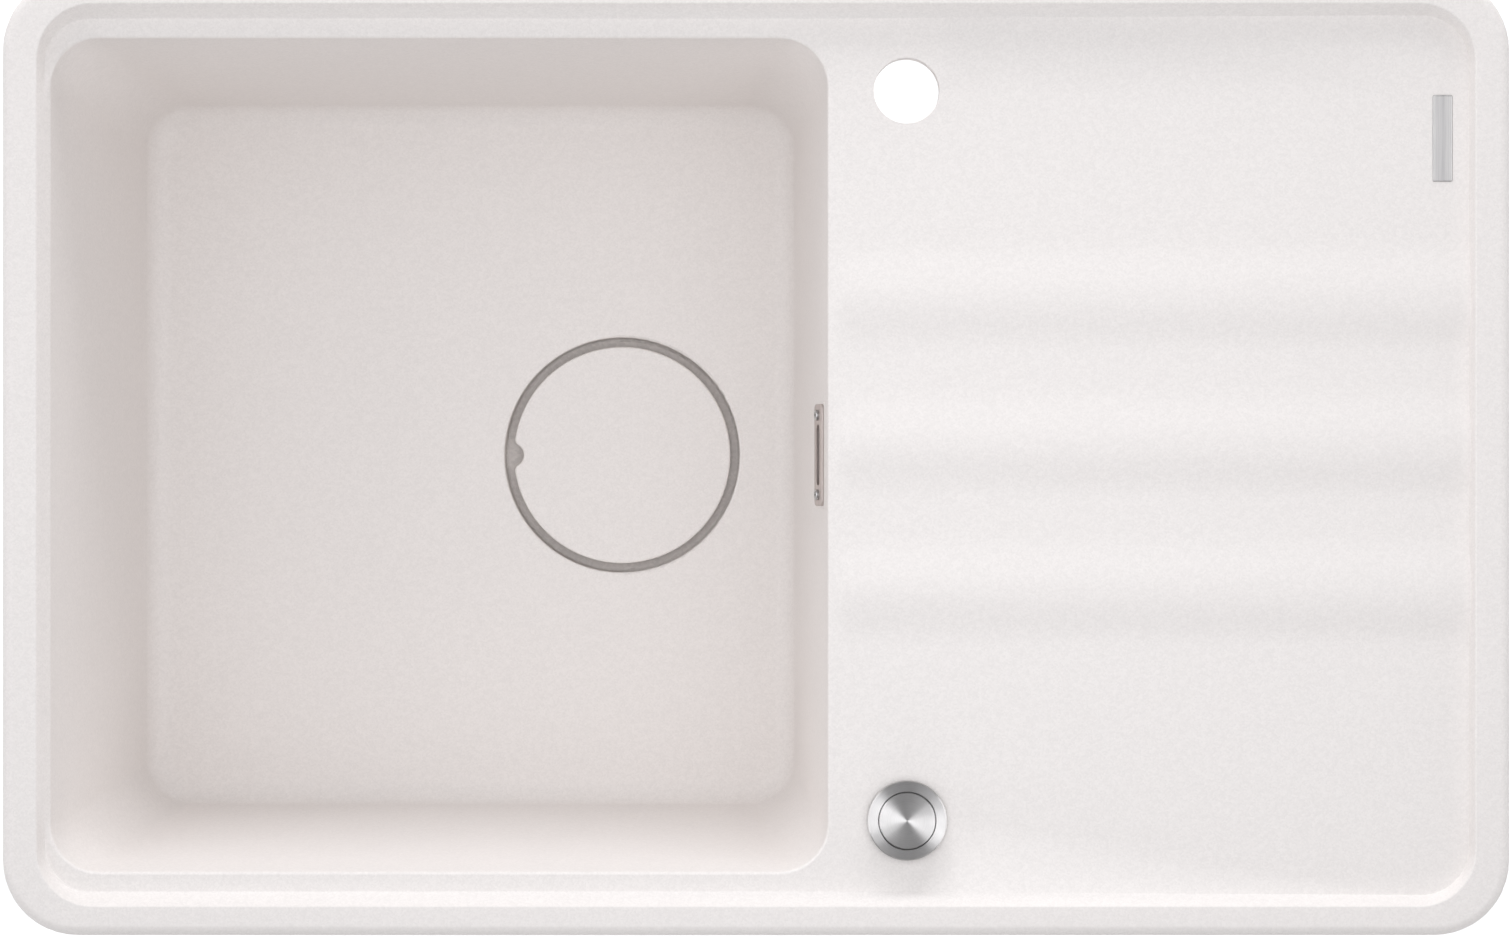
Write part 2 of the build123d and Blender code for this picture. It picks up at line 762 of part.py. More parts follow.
# Cross spindle with the finger under the pin, drawn at rest
finger_plane = Plane(origin=(spindle_x, 0, spindle_z), x_dir=(1, 0, 0), z_dir=(0, -1, 0))
rest_angle = degrees(half_swing)
with BuildPart() as crank_spindle:
    with BuildSketch(Plane(origin=(spindle_x, crank_y - crank_plate - 1, spindle_z),
                           x_dir=(1, 0, 0), z_dir=(0, -1, 0))):
        Circle(spindle_radius)
    extrude(amount=crank_y - crank_plate - 1 - finger_width)
    with BuildSketch(finger_plane.offset(-finger_width / 2)):
        with Locations((-finger_length / 2 * cos(half_swing), -finger_length / 2 * sin(half_swing))):
            SlotCenterToCenter(finger_length, 2 * finger_tip, rotation=rest_angle)
    extrude(amount=finger_width)
crank_spindle.part.label = "crank_spindle"
export_step(crank_spindle.part, "parts/crank_spindle.step")

# Ring seal of the spindle
with BuildPart() as spindle_o_ring:
    with BuildSketch(Plane(origin=(spindle_x, boss_end + o_ring_wire, spindle_z),
                           x_dir=(1, 0, 0), z_dir=(0, 0, 1))):
        with Locations((spindle_radius + 0.15 + o_ring_wire, 0)):
            Circle(o_ring_wire)
    revolve(axis=Axis((spindle_x, 0, spindle_z), (0, 1, 0)))
spindle_o_ring.part.label = "spindle_o_ring"
export_step(spindle_o_ring.part, "parts/spindle_o_ring.step")

# Nut that closes the spindle port
with BuildPart() as spindle_gland_nut:
    with BuildSketch(spindle_plane.offset(-gland_nut_cover)):
        RegularPolygon(gland_nut_flats / 2, 6, major_radius=False)
    extrude(amount=gland_nut_length)
    with BuildSketch(spindle_plane.offset(-gland_nut_cover - 1)):
        Circle(spindle_boss_radius + thread_gap)
    extrude(amount=gland_nut_cover + 1, mode=Mode.SUBTRACT)
    with BuildSketch(spindle_plane.offset(-1)):
        Circle(spindle_radius + loose_gap)
    extrude(amount=gland_nut_length + 2, mode=Mode.SUBTRACT)
spindle_gland_nut.part.label = "spindle_gland_nut"
export_step(spindle_gland_nut.part, "parts/spindle_gland_nut.step")

# Outside crank arm that the cable pulls, drawn at rest
crank_plane = Plane(origin=(spindle_x, crank_y, spindle_z), x_dir=(1, 0, 0), z_dir=(0, -1, 0))
with BuildPart() as crank_arm:
    with BuildSketch(crank_plane):
        Circle(crank_hub_radius)
        with Locations((-crank_length / 2 * sin(half_swing), crank_length / 2 * cos(half_swing))):
            SlotCenterToCenter(crank_length, crank_hub_radius + 1, rotation=90 + rest_angle)
        Circle(spindle_radius + thread_gap, mode=Mode.SUBTRACT)
        with Locations((-crank_length * sin(half_swing), crank_length * cos(half_swing))):
            Circle(crank_eye_radius, mode=Mode.SUBTRACT)
    extrude(amount=crank_plate)
crank_arm.part.label = "crank_arm"
export_step(crank_arm.part, "parts/crank_arm.step")

# Cable stop in the bracket
gland_plane = Plane(origin=(bracket_x, bracket_y, bracket_z), x_dir=(0, 1, 0), z_dir=(1, 0, 0))
with BuildPart() as cable_gland:
    with BuildSketch(gland_plane.offset(-bracket_plate - cable_gland_tip)):
        Circle(cable_gland_neck)
    extrude(amount=bracket_plate + cable_gland_tip)
    with BuildSketch(gland_plane):
        Circle(cable_gland_radius)
    extrude(amount=cable_gland_length)
    chamfer(cable_gland.faces().sort_by(Axis.X)[-1].edges(), gland_chamfer)
    with BuildSketch(gland_plane.offset(cable_gland_length + 1)):
        Circle(cable_bore)
    extrude(amount=-bracket_plate - cable_gland_tip - cable_gland_length - 2, mode=Mode.SUBTRACT)
cable_gland.part.label = "cable_gland"
export_step(cable_gland.part, "parts/cable_gland.step")

# Steel overflow cover
with BuildPart() as overflow_cover:
    with BuildSketch(overflow_plane):
        RectangleRounded(overflow_length, overflow_height, overflow_corner)
        SlotOverall(overflow_slot, overflow_slot_height, mode=Mode.SUBTRACT)
        with Locations((-overflow_screw_span / 2, 0), (overflow_screw_span / 2, 0)):
            Circle(overflow_screw_radius + loose_gap, mode=Mode.SUBTRACT)
    extrude(amount=overflow_sheet)
    outer_loop = overflow_cover.faces().filter_by(overflow_plane).sort_by(Axis.X)[0].outer_wire().edges()
    fillet(outer_loop, overflow_edge_round)
overflow_cover.part.label = "overflow_cover"
export_step(overflow_cover.part, "parts/overflow_cover.step")

# Two pan-head screws of the overflow
screw_reach = overflow_depth + overflow_gasket_thickness + elbow_boss_length - overflow_sheet
with BuildPart() as overflow_screws:
    with BuildSketch(overflow_plane.offset(overflow_sheet)):
        with Locations((-overflow_screw_span / 2, 0), (overflow_screw_span / 2, 0)):
            Circle(overflow_screw_head)
    extrude(amount=overflow_head_height)
    fillet(overflow_screws.faces().filter_by(overflow_plane).group_by(Axis.X)[0].edges(), overflow_head_round)
    with BuildSketch(overflow_plane.offset(overflow_sheet + overflow_head_height / 2)):
        with Locations((-overflow_screw_span / 2, 0), (overflow_screw_span / 2, 0)):
            Rectangle(overflow_cross, overflow_cross_width)
            Rectangle(overflow_cross_width, overflow_cross)
    extrude(amount=overflow_head_height, mode=Mode.SUBTRACT)
    with BuildSketch(overflow_plane.offset(overflow_sheet)):
        with Locations((-overflow_screw_span / 2, 0), (overflow_screw_span / 2, 0)):
            Circle(overflow_screw_radius)
    extrude(amount=-screw_reach - overflow_sheet)
overflow_screws.part.label = "overflow_screws"
export_step(overflow_screws.part, "parts/overflow_screws.step")

# Rubber sheet behind the overflow
with BuildPart() as overflow_gasket:
    with BuildSketch(overflow_plane.offset(-overflow_depth)):
        RectangleRounded(overflow_length, overflow_height + 2 * elbow_lip, overflow_corner + 1)
        SlotOverall(overflow_slot + 2, overflow_slot_height + 3, mode=Mode.SUBTRACT)
        with Locations((-overflow_screw_span / 2, 0), (overflow_screw_span / 2, 0)):
            Circle(overflow_screw_radius + loose_gap, mode=Mode.SUBTRACT)
    extrude(amount=-overflow_gasket_thickness)
overflow_gasket.part.label = "overflow_gasket"
export_step(overflow_gasket.part, "parts/overflow_gasket.step")

# Plastic elbow that turns the overflow water down
elbow_back = overflow_depth + overflow_gasket_thickness
pipe_x = overflow_x + elbow_back * cos(radians(overflow_lean))
pipe_x += overflow_height / 2 * sin(radians(overflow_lean)) + socket_radius + socket_gap
elbow_plane = overflow_plane.offset(-elbow_back)
socket_top = overflow_level - socket_drop
socket_end = socket_top - socket_length
with BuildPart() as overflow_elbow:
    with BuildSketch(elbow_plane):
        RectangleRounded(overflow_length, overflow_height + 2 * elbow_lip, overflow_corner + 1)
    extrude(amount=-elbow_flange)
    with BuildSketch(elbow_plane):
        with Locations((-overflow_screw_span / 2, 0), (overflow_screw_span / 2, 0)):
            Circle(elbow_boss_radius)
    extrude(amount=-elbow_boss_length)
    with BuildSketch(elbow_plane):
        SlotOverall(overflow_slot + elbow_lip, overflow_height - elbow_lip)
    extrude(amount=-elbow_throat)
    with BuildSketch(Plane(origin=(pipe_x, 0, 0), x_dir=(1, 0, 0), z_dir=(0, -1, 0))):
        with BuildLine():
            FilletPolyline(
                (0, socket_top + socket_dome),
                (socket_radius, socket_top + socket_dome),
                (socket_radius, socket_end),
                (0, socket_end),
                close=True,
                radius=(0, socket_dome_round, 0, 0),
            )
        make_face()
    revolve(axis=Axis((pipe_x, 0, 0), (0, 0, 1)))
    with BuildSketch(elbow_plane.offset(1)):
        SlotOverall(overflow_slot - plastic_wall, overflow_height - 2 * plastic_wall + elbow_lip)
    extrude(amount=-elbow_throat + elbow_lip, mode=Mode.SUBTRACT)
    with BuildSketch(Plane.XY.offset(socket_top + socket_dome / 3)):
        with Locations((pipe_x, 0)):
            Circle(pipe_radius - pipe_wall)
    extrude(amount=-socket_length - socket_dome / 3 - 1, mode=Mode.SUBTRACT)
    with BuildSketch(Plane.XY.offset(socket_end)):
        with Locations((pipe_x, 0)):
            Circle(pipe_radius + 0.1)
    extrude(amount=pipe_entry, mode=Mode.SUBTRACT)
    with BuildSketch(elbow_plane.offset(1)):
        with Locations((-overflow_screw_span / 2, 0), (overflow_screw_span / 2, 0)):
            Circle(overflow_screw_radius + thread_gap)
    extrude(amount=-elbow_boss_length - 2, mode=Mode.SUBTRACT)
overflow_elbow.part.label = "overflow_elbow"
export_step(overflow_elbow.part, "parts/overflow_elbow.step")

# Bent overflow pipe
with BuildPart() as overflow_pipe:
    with BuildLine(Plane.XZ) as pipe_path:
        FilletPolyline(
            (pipe_x, socket_end + pipe_entry - 1),
            (pipe_x, port_z),
            (port_end - pipe_entry + 1, port_z),
            radius=pipe_bend,
        )
    with BuildSketch(Plane.XY.offset(socket_end + pipe_entry - 1)):
        with Locations((pipe_x, 0)):
            Circle(pipe_radius)
            Circle(pipe_radius - pipe_wall, mode=Mode.SUBTRACT)
    sweep(path=pipe_path.wire())
overflow_pipe.part.label = "overflow_pipe"
export_step(overflow_pipe.part, "parts/overflow_pipe.step")

# Cone seals and compression nuts at both ends of the pipe
upper_joint = Plane(origin=(pipe_x, 0, socket_end), x_dir=(1, 0, 0), z_dir=(0, 0, -1))
lower_joint = Plane(origin=(port_end, 0, port_z), x_dir=(0, 1, 0), z_dir=(1, 0, 0))
with BuildPart() as pipe_seal_upper:
    with BuildSketch(upper_joint):
        Circle(socket_radius - 0.4)
        Circle(pipe_radius + 0.05, mode=Mode.SUBTRACT)
    extrude(amount=cone_seal_height)
pipe_seal_upper.part.label = "pipe_seal_upper"
export_step(pipe_seal_upper.part, "parts/pipe_seal_upper.step")

with BuildPart() as pipe_seal_lower:
    with BuildSketch(lower_joint):
        Circle(socket_radius - 0.4)
        Circle(pipe_radius + 0.05, mode=Mode.SUBTRACT)
    extrude(amount=cone_seal_height)
pipe_seal_lower.part.label = "pipe_seal_lower"
export_step(pipe_seal_lower.part, "parts/pipe_seal_lower.step")

with BuildPart() as pipe_nut_upper:
    with BuildSketch(upper_joint.offset(cone_seal_height + nut_lip - nut_length)):
        RegularPolygon(nut_radius, 12)
    extrude(amount=nut_length)
    with BuildSketch(upper_joint.offset(cone_seal_height)):
        Circle(socket_radius + 0.1)
    extrude(amount=-nut_length, mode=Mode.SUBTRACT)
    with BuildSketch(upper_joint):
        Circle(pipe_radius + loose_gap)
    extrude(amount=nut_length, mode=Mode.SUBTRACT)
pipe_nut_upper.part.label = "pipe_nut_upper"
export_step(pipe_nut_upper.part, "parts/pipe_nut_upper.step")

with BuildPart() as pipe_nut_lower:
    with BuildSketch(lower_joint.offset(cone_seal_height + nut_lip - nut_length)):
        RegularPolygon(nut_radius, 12)
    extrude(amount=nut_length)
    with BuildSketch(lower_joint.offset(cone_seal_height)):
        Circle(socket_radius + 0.1)
    extrude(amount=-nut_length, mode=Mode.SUBTRACT)
    with BuildSketch(lower_joint):
        Circle(pipe_radius + loose_gap)
    extrude(amount=nut_length, mode=Mode.SUBTRACT)
pipe_nut_lower.part.label = "pipe_nut_lower"
export_step(pipe_nut_lower.part, "parts/pipe_nut_lower.step")

# Levels of the push button
button_y = -hole_y
bezel_seat = deck_at(hole_x) + bezel_gasket_thickness
bezel_top = bezel_seat + bezel_height
cap_bottom = bezel_top - cap_thickness
tube_bottom = bezel_seat - tube_length
tube_inside = tube_bottom + tube_floor
pocket_radius = cap_radius + cap_gap
carriage_top = tube_bottom - carriage_drop
button_axis = Axis((hole_x, button_y, 0), (0, 0, 1))
button_plane = Plane(origin=(hole_x, button_y, 0), x_dir=(1, 0, 0), z_dir=(0, -1, 0))

# Rubber ring under the bezel, cut to the falling deck
with BuildPart() as bezel_gasket:
    with BuildSketch(Plane.XY.offset(bezel_seat)):
        with Locations((hole_x, button_y)):
            Circle(bezel_radius - 0.8)
            Circle(tube_radius + 0.2, mode=Mode.SUBTRACT)
    extrude(amount=-bezel_gasket_thickness - 1)
    add(sink_body.part, mode=Mode.SUBTRACT)
    split(bisect_by=Plane.XY.offset(deck_at(hole_x) - 0.2), keep=Keep.TOP)
bezel_gasket.part.label = "bezel_gasket"
export_step(bezel_gasket.part, "parts/bezel_gasket.step")

# Steel bezel with its threaded tube
with BuildPart() as button_bezel:
    with BuildSketch(button_plane):
        with BuildLine():
            Polyline(
                (pocket_radius, bezel_top - 0.4),
                (pocket_radius + 0.4, bezel_top),
                (bezel_radius - bezel_chamfer, bezel_top),
                (bezel_radius, bezel_top - bezel_chamfer),
                (bezel_radius, bezel_seat),
                (tube_radius, bezel_seat),
                (tube_radius, tube_bottom),
                (plunger_radius + loose_gap, tube_bottom),
                (plunger_radius + loose_gap, tube_inside),
                (pocket_radius, tube_inside),
                close=True,
            )
        make_face()
    revolve(axis=button_axis)
button_bezel.part.label = "button_bezel"
export_step(button_bezel.part, "parts/button_bezel.step")

# Washer and nut under the deck
with BuildPart() as bezel_washer:
    with BuildSketch(Plane.XY.offset(slab_bottom)):
        with Locations((hole_x, button_y)):
            Circle(bezel_nut_flats / 2)
            Circle(tube_radius + 0.4, mode=Mode.SUBTRACT)
    extrude(amount=-bezel_washer_thickness)
bezel_washer.part.label = "bezel_washer"
export_step(bezel_washer.part, "parts/bezel_washer.step")

with BuildPart() as bezel_nut:
    with BuildSketch(Plane.XY.offset(slab_bottom - bezel_washer_thickness)):
        with Locations((hole_x, button_y)):
            RegularPolygon(bezel_nut_flats / 2, 6, major_radius=False)
            Circle(tube_radius + thread_gap, mode=Mode.SUBTRACT)
    extrude(amount=-bezel_nut_thickness)
    chamfer(bezel_nut.faces().sort_by(Axis.Z)[0].outer_wire().edges(), bezel_nut_chamfer)
bezel_nut.part.label = "bezel_nut"
export_step(bezel_nut.part, "parts/bezel_nut.step")

# Push cap with a chamfered top edge
with BuildPart() as button_cap:
    with BuildSketch(Plane.XY.offset(cap_bottom)):
        with Locations((hole_x, button_y)):
            Circle(cap_radius)
    extrude(amount=cap_thickness)
    chamfer(button_cap.faces().sort_by(Axis.Z)[-1].edges(), cap_chamfer)
button_cap.part.label = "button_cap"
export_step(button_cap.part, "parts/button_cap.step")

# Plunger with the carriage that holds the cable end
with BuildPart() as button_plunger:
    with BuildSketch(Plane.XY.offset(cap_bottom)):
        with Locations((hole_x, button_y)):
            Circle(plunger_radius)
    extrude(amount=carriage_top - cap_bottom)
    with BuildSketch(Plane.XY.offset(carriage_top)):
        with Locations((hole_x, button_y)):
            Circle(carriage_radius)
    extrude(amount=-carriage_thickness)
    with BuildSketch(Plane.XY.offset(carriage_top - carriage_thickness)):
        with Locations((hole_x, button_y)):
            Circle(cable_bore)
    extrude(amount=carriage_thickness, mode=Mode.SUBTRACT)
button_plunger.part.label = "button_plunger"
export_step(button_plunger.part, "parts/button_plunger.step")

# Return spring round the plunger
spring_low = tube_inside + spring_wire / 2 + 0.1
spring_high = cap_bottom - spring_wire / 2 - 0.1
spring_pitch = (spring_high - spring_low) / spring_turns
with BuildPart() as button_spring:
    with BuildLine() as spring_path:
        Helix(spring_pitch, spring_high - spring_low, spring_radius, center=(hole_x, button_y, spring_low))
    with BuildSketch(Plane(spring_path.line @ 0, z_dir=spring_path.line % 0)):
        Circle(spring_wire / 2)
    sweep(path=spring_path.line, is_frenet=True)
button_spring.part.label = "button_spring"
export_step(button_spring.part, "parts/button_spring.step")
spring_gap = spring_pitch * 2 * pi * spring_radius / sqrt((2 * pi * spring_radius) ** 2 + spring_pitch**2)
print("spring gap between turns", round(spring_gap - spring_wire, 3))

# Housing under the tube
housing_top = tube_bottom + housing_overlap
housing_bottom = housing_top - housing_depth
with BuildPart() as control_housing:
    with BuildSketch(button_plane):
        with BuildLine():
            Polyline(
                (tube_radius + thread_gap, housing_top),
                (tube_radius + housing_wall, housing_top),
                (tube_radius + housing_wall, housing_bottom + housing_chamfer),
                (tube_radius + housing_wall - housing_chamfer, housing_bottom),
                (cable_gland_neck + thread_gap, housing_bottom),
                (cable_gland_neck + thread_gap, housing_bottom + housing_floor),
                (carriage_radius + carriage_gap, housing_bottom + housing_floor),
                (carriage_radius + carriage_gap, tube_bottom),
                (tube_radius + thread_gap, tube_bottom),
                close=True,
            )
        make_face()
    revolve(axis=button_axis)
control_housing.part.label = "control_housing"
export_step(control_housing.part, "parts/control_housing.step")

# Cable stop under the housing
with BuildPart() as housing_gland:
    with BuildSketch(Plane.XY.offset(housing_bottom + housing_floor)):
        with Locations((hole_x, button_y)):
            Circle(cable_gland_neck)
    extrude(amount=-housing_floor)
    with BuildSketch(Plane.XY.offset(housing_bottom)):
        with Locations((hole_x, button_y)):
            Circle(cable_gland_radius)
    extrude(amount=-housing_gland_length)
    chamfer(housing_gland.faces().sort_by(Axis.Z)[0].edges(), gland_chamfer)
    with BuildSketch(Plane.XY.offset(housing_bottom + housing_floor + 1)):
        with Locations((hole_x, button_y)):
            Circle(cable_bore)
    extrude(amount=-housing_floor - housing_gland_length - 2, mode=Mode.SUBTRACT)
housing_gland.part.label = "housing_gland"
export_step(housing_gland.part, "parts/housing_gland.step")

# Bent steel clips that reach under the worktop
clip_outer = skirt_width / 2
clip_inner = clip_outer - skirt_wall + 2
with BuildPart() as fixing_clips:
    for place, _ in clip_places:
        with BuildSketch(Plane(origin=(place - clip_width / 2, 0, 0), x_dir=(0, 1, 0), z_dir=(1, 0, 0))):
            with BuildLine():
                FilletPolyline(
                    (clip_inner, skirt_bottom),
                    (clip_outer, skirt_bottom),
                    (clip_outer, -worktop_thickness),
                    (clip_outer + clip_reach, -worktop_thickness),
                    (clip_outer + clip_reach, -worktop_thickness - clip_sheet),
                    (clip_outer - clip_sheet, -worktop_thickness - clip_sheet),
                    (clip_outer - clip_sheet, skirt_bottom - clip_sheet),
                    (clip_inner, skirt_bottom - clip_sheet),
                    close=True,
                    radius=(0, clip_bend + clip_sheet, clip_bend, 0, 0, clip_bend + clip_sheet, clip_bend, 0),
                )
            make_face()
        extrude(amount=clip_width)
    with BuildSketch(Plane.XY.offset(skirt_bottom + 1)):
        with Locations(clip_places):
            Circle(clip_screw_radius + loose_gap)
    extrude(amount=-clip_sheet - 2, mode=Mode.SUBTRACT)
    mirror(about=Plane.XZ)
fixing_clips.part.label = "fixing_clips"
export_step(fixing_clips.part, "parts/fixing_clips.step")

# Screws of the clips
with BuildPart() as clip_screws:
    with BuildSketch(Plane.XY.offset(skirt_bottom - clip_sheet)):
        with Locations(clip_places):
            Circle(clip_screw_head)
    extrude(amount=-clip_head_height)
    chamfer(clip_screws.faces().group_by(Axis.Z)[0].edges(), clip_screw_chamfer)
    with BuildSketch(Plane.XY.offset(skirt_bottom - clip_sheet)):
        with Locations(clip_places):
            Circle(clip_screw_radius)
    extrude(amount=clip_sheet + clip_screw_bite)
    with BuildSketch(Plane.XY.offset(skirt_bottom - clip_sheet - clip_head_height)):
        with Locations(clip_places):
            RegularPolygon(clip_socket, 6)
    extrude(amount=clip_socket_depth, mode=Mode.SUBTRACT)
    mirror(about=Plane.XZ)
clip_screws.part.label = "clip_screws"
export_step(clip_screws.part, "parts/clip_screws.step")
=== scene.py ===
import json
import math

import bmesh
import bpy
import numpy as np
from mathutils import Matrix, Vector


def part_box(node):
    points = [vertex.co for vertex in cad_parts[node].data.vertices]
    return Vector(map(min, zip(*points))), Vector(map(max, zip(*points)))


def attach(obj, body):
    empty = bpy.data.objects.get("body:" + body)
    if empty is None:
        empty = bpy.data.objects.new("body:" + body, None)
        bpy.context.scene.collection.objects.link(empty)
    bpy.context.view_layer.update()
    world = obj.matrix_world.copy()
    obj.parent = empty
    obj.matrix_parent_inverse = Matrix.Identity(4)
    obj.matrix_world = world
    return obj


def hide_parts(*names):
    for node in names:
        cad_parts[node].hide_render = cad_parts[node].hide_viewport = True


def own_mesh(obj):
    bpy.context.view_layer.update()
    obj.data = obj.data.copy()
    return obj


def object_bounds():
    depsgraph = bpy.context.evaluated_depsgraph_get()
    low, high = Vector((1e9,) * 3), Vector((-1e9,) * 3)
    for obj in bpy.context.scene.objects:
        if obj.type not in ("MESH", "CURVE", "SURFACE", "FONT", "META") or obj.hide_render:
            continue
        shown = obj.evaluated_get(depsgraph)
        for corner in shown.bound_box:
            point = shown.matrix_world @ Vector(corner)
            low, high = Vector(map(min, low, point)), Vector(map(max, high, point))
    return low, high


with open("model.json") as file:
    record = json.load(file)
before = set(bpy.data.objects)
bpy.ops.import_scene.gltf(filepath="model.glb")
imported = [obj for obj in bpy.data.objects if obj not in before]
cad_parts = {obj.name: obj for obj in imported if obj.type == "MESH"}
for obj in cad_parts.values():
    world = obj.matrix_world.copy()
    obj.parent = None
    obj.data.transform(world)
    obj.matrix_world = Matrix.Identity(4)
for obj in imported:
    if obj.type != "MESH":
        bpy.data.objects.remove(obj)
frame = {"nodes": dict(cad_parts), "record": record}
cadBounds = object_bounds()
nodes = frame["nodes"]
scene = bpy.context.scene
print("frame loaded:", len(nodes), "nodes")


def linearColour(hexText):
    # the sRGB curve, undone
    srgb = np.array([int(hexText[i:i + 2], 16) / 255 for i in (1, 3, 5)])
    linear = np.where(srgb <= 0.04045, srgb / 12.92, ((srgb + 0.055) / 1.055) ** 2.4)
    return (*linear.tolist(), 1.0)


def addNode(tree, kind, inputs=None, **settings):
    # an input that is a socket gets linked, any other is set
    node = tree.nodes.new(kind)
    for name, value in settings.items():
        setattr(node, name, value)
    for key, value in (inputs or {}).items():
        if isinstance(value, bpy.types.NodeSocket):
            tree.links.new(value, node.inputs[key])
        else:
            node.inputs[key].default_value = value
    return node


def newMaterial(name):
    material = bpy.data.materials.new(name)
    material.use_nodes = True
    tree = material.node_tree
    tree.nodes.clear()
    return material, tree


def finishSurface(tree, look, tone, gloss, height, others):
    # tone runs the colour from dark to light, gloss swings the roughness both ways, height makes the bump
    toneLow, toneHigh = look["toneRange"]
    glossLow, glossHigh = look["glossRange"]
    ramp = addNode(tree, "ShaderNodeMapRange", {"Value": tone, "From Min": toneLow, "From Max": toneHigh})
    # the mix node takes its two colours at 6 and 7 and gives the mixed one at 2
    colour = addNode(tree, "ShaderNodeMix", {"Factor": ramp.outputs[0], 6: linearColour(look["dark"]),
                                             7: linearColour(look["light"])}, data_type="RGBA")
    rough = addNode(tree, "ShaderNodeMapRange", {
        "Value": gloss, "From Min": glossLow, "From Max": glossHigh,
        "To Min": look["rough"] - look["swing"], "To Max": look["rough"] + look["swing"]})
    bump = addNode(tree, "ShaderNodeBump", {"Height": height, "Strength": look["bump"],
                                            "Distance": look["relief"]})
    shader = addNode(tree, "ShaderNodeBsdfPrincipled", {
        "Base Color": colour.outputs[2], "Roughness": rough.outputs[0], "Normal": bump.outputs[0], **others})
    addNode(tree, "ShaderNodeOutputMaterial", {"Surface": shader.outputs[0]})


def graniteFinish(name, look):
    # quartz sand bound in acrylic resin: pale, a little warm, matt with a soft sheen; the grit, 0.3 mm in
    # the real stone, is drawn a few times coarser so that it shows close up
    material, tree = newMaterial(name)
    place = addNode(tree, "ShaderNodeTexCoord").outputs["Object"]
    grain = addNode(tree, "ShaderNodeTexVoronoi", {"Vector": place, "Scale": 1 / look["grain"]})
    shade = addNode(tree, "ShaderNodeSeparateColor", {"Color": grain.outputs["Color"]}).outputs["Red"]
    mottle = addNode(tree, "ShaderNodeTexNoise", {"Vector": place, "Scale": 1 / look["mottle"],
                                                  "Detail": 3.0}).outputs["Fac"]
    grains = addNode(tree, "ShaderNodeMath", {0: shade, 1: look["grainShare"]}, operation="MULTIPLY")
    tone = addNode(tree, "ShaderNodeMath", {0: mottle, 1: look["mottleShare"], 2: grains.outputs[0]},
                   operation="MULTIPLY_ADD")
    finishSurface(tree, look, tone.outputs[0], mottle, grain.outputs["Distance"],
                  {"Specular IOR Level": look["sheen"]})
    return material


def steelFinish(name, look):
    # stainless or plated steel: bright neutral metal; brushing draws fine lines along the stroke and
    # stretches its highlights; the lines, under 0.1 mm in the real metal, are drawn coarser to show
    material, tree = newMaterial(name)
    place = addNode(tree, "ShaderNodeTexCoord").outputs["Object"]
    others = {"Metallic": 1.0, "Anisotropic": look["stretch"]}
    lineScale = {"Scale": 1 / look["stroke"], "Detail": 4.0}
    if "centre" in look:  # turned about an upright axis, so the lines are rings
        offset = addNode(tree, "ShaderNodeVectorMath", {0: place, 1: look["centre"]}, operation="SUBTRACT")
        flat = addNode(tree, "ShaderNodeVectorMath", {0: offset.outputs[0], 1: (1, 1, 0)},
                       operation="MULTIPLY").outputs[0]
        radius = addNode(tree, "ShaderNodeVectorMath", {0: flat}, operation="LENGTH").outputs["Value"]
        lines = addNode(tree, "ShaderNodeTexNoise", {"W": radius, **lineScale}, noise_dimensions="1D")
        others["Tangent"] = addNode(tree, "ShaderNodeVectorMath", {0: flat},
                                    operation="NORMALIZE").outputs[0]
    else:
        place = addNode(tree, "ShaderNodeVectorMath", {0: place, 1: look["across"]},
                        operation="MULTIPLY").outputs[0]
        lines = addNode(tree, "ShaderNodeTexNoise", {"Vector": place, **lineScale})
        if look["stretch"]:
            others["Tangent"] = addNode(tree, "ShaderNodeCombineXYZ",
                                        dict(enumerate(look["spread"]))).outputs[0]
    cloud = addNode(tree, "ShaderNodeTexNoise", {"Vector": place, "Scale": 1 / look["band"], "Detail": 2.0})
    tone = addNode(tree, "ShaderNodeMath", {0: lines.outputs["Fac"], 1: look["lineShare"],
                                            2: cloud.outputs["Fac"]}, operation="MULTIPLY_ADD")
    finishSurface(tree, look, tone.outputs[0], lines.outputs["Fac"], lines.outputs["Fac"], others)
    return material


def mouldedFinish(name, look):
    # moulded plastic or rubber: one through colour, faint flow clouds, a fine eroded skin that breaks
    # the gloss
    material, tree = newMaterial(name)
    place = addNode(tree, "ShaderNodeTexCoord").outputs["Object"]
    cloud = addNode(tree, "ShaderNodeTexNoise", {"Vector": place, "Scale": 1 / look["cloud"], "Detail": 3.0})
    skin = addNode(tree, "ShaderNodeTexNoise", {"Vector": place, "Scale": 1 / look["skin"], "Detail": 2.0})
    finishSurface(tree, look, cloud.outputs["Fac"], skin.outputs["Fac"], skin.outputs["Fac"], {})
    return material


# what the finishes of one kind share; lengths of patterns and reliefs are in metres
stoneKind = {"grainShare": 0.65, "mottleShare": 0.6, "toneRange": (0.3, 1.0), "glossRange": (0.3, 0.7),
             "swing": 0.05, "relief": 0.0001}
steelKind = {"lineShare": 0.7, "toneRange": (0.5, 1.2), "glossRange": (0.25, 0.75), "swing": 0.06,
             "relief": 0.00004}
mouldKind = {"toneRange": (0.3, 0.7), "glossRange": (0.3, 0.7), "swing": 0.07, "relief": 0.0001}

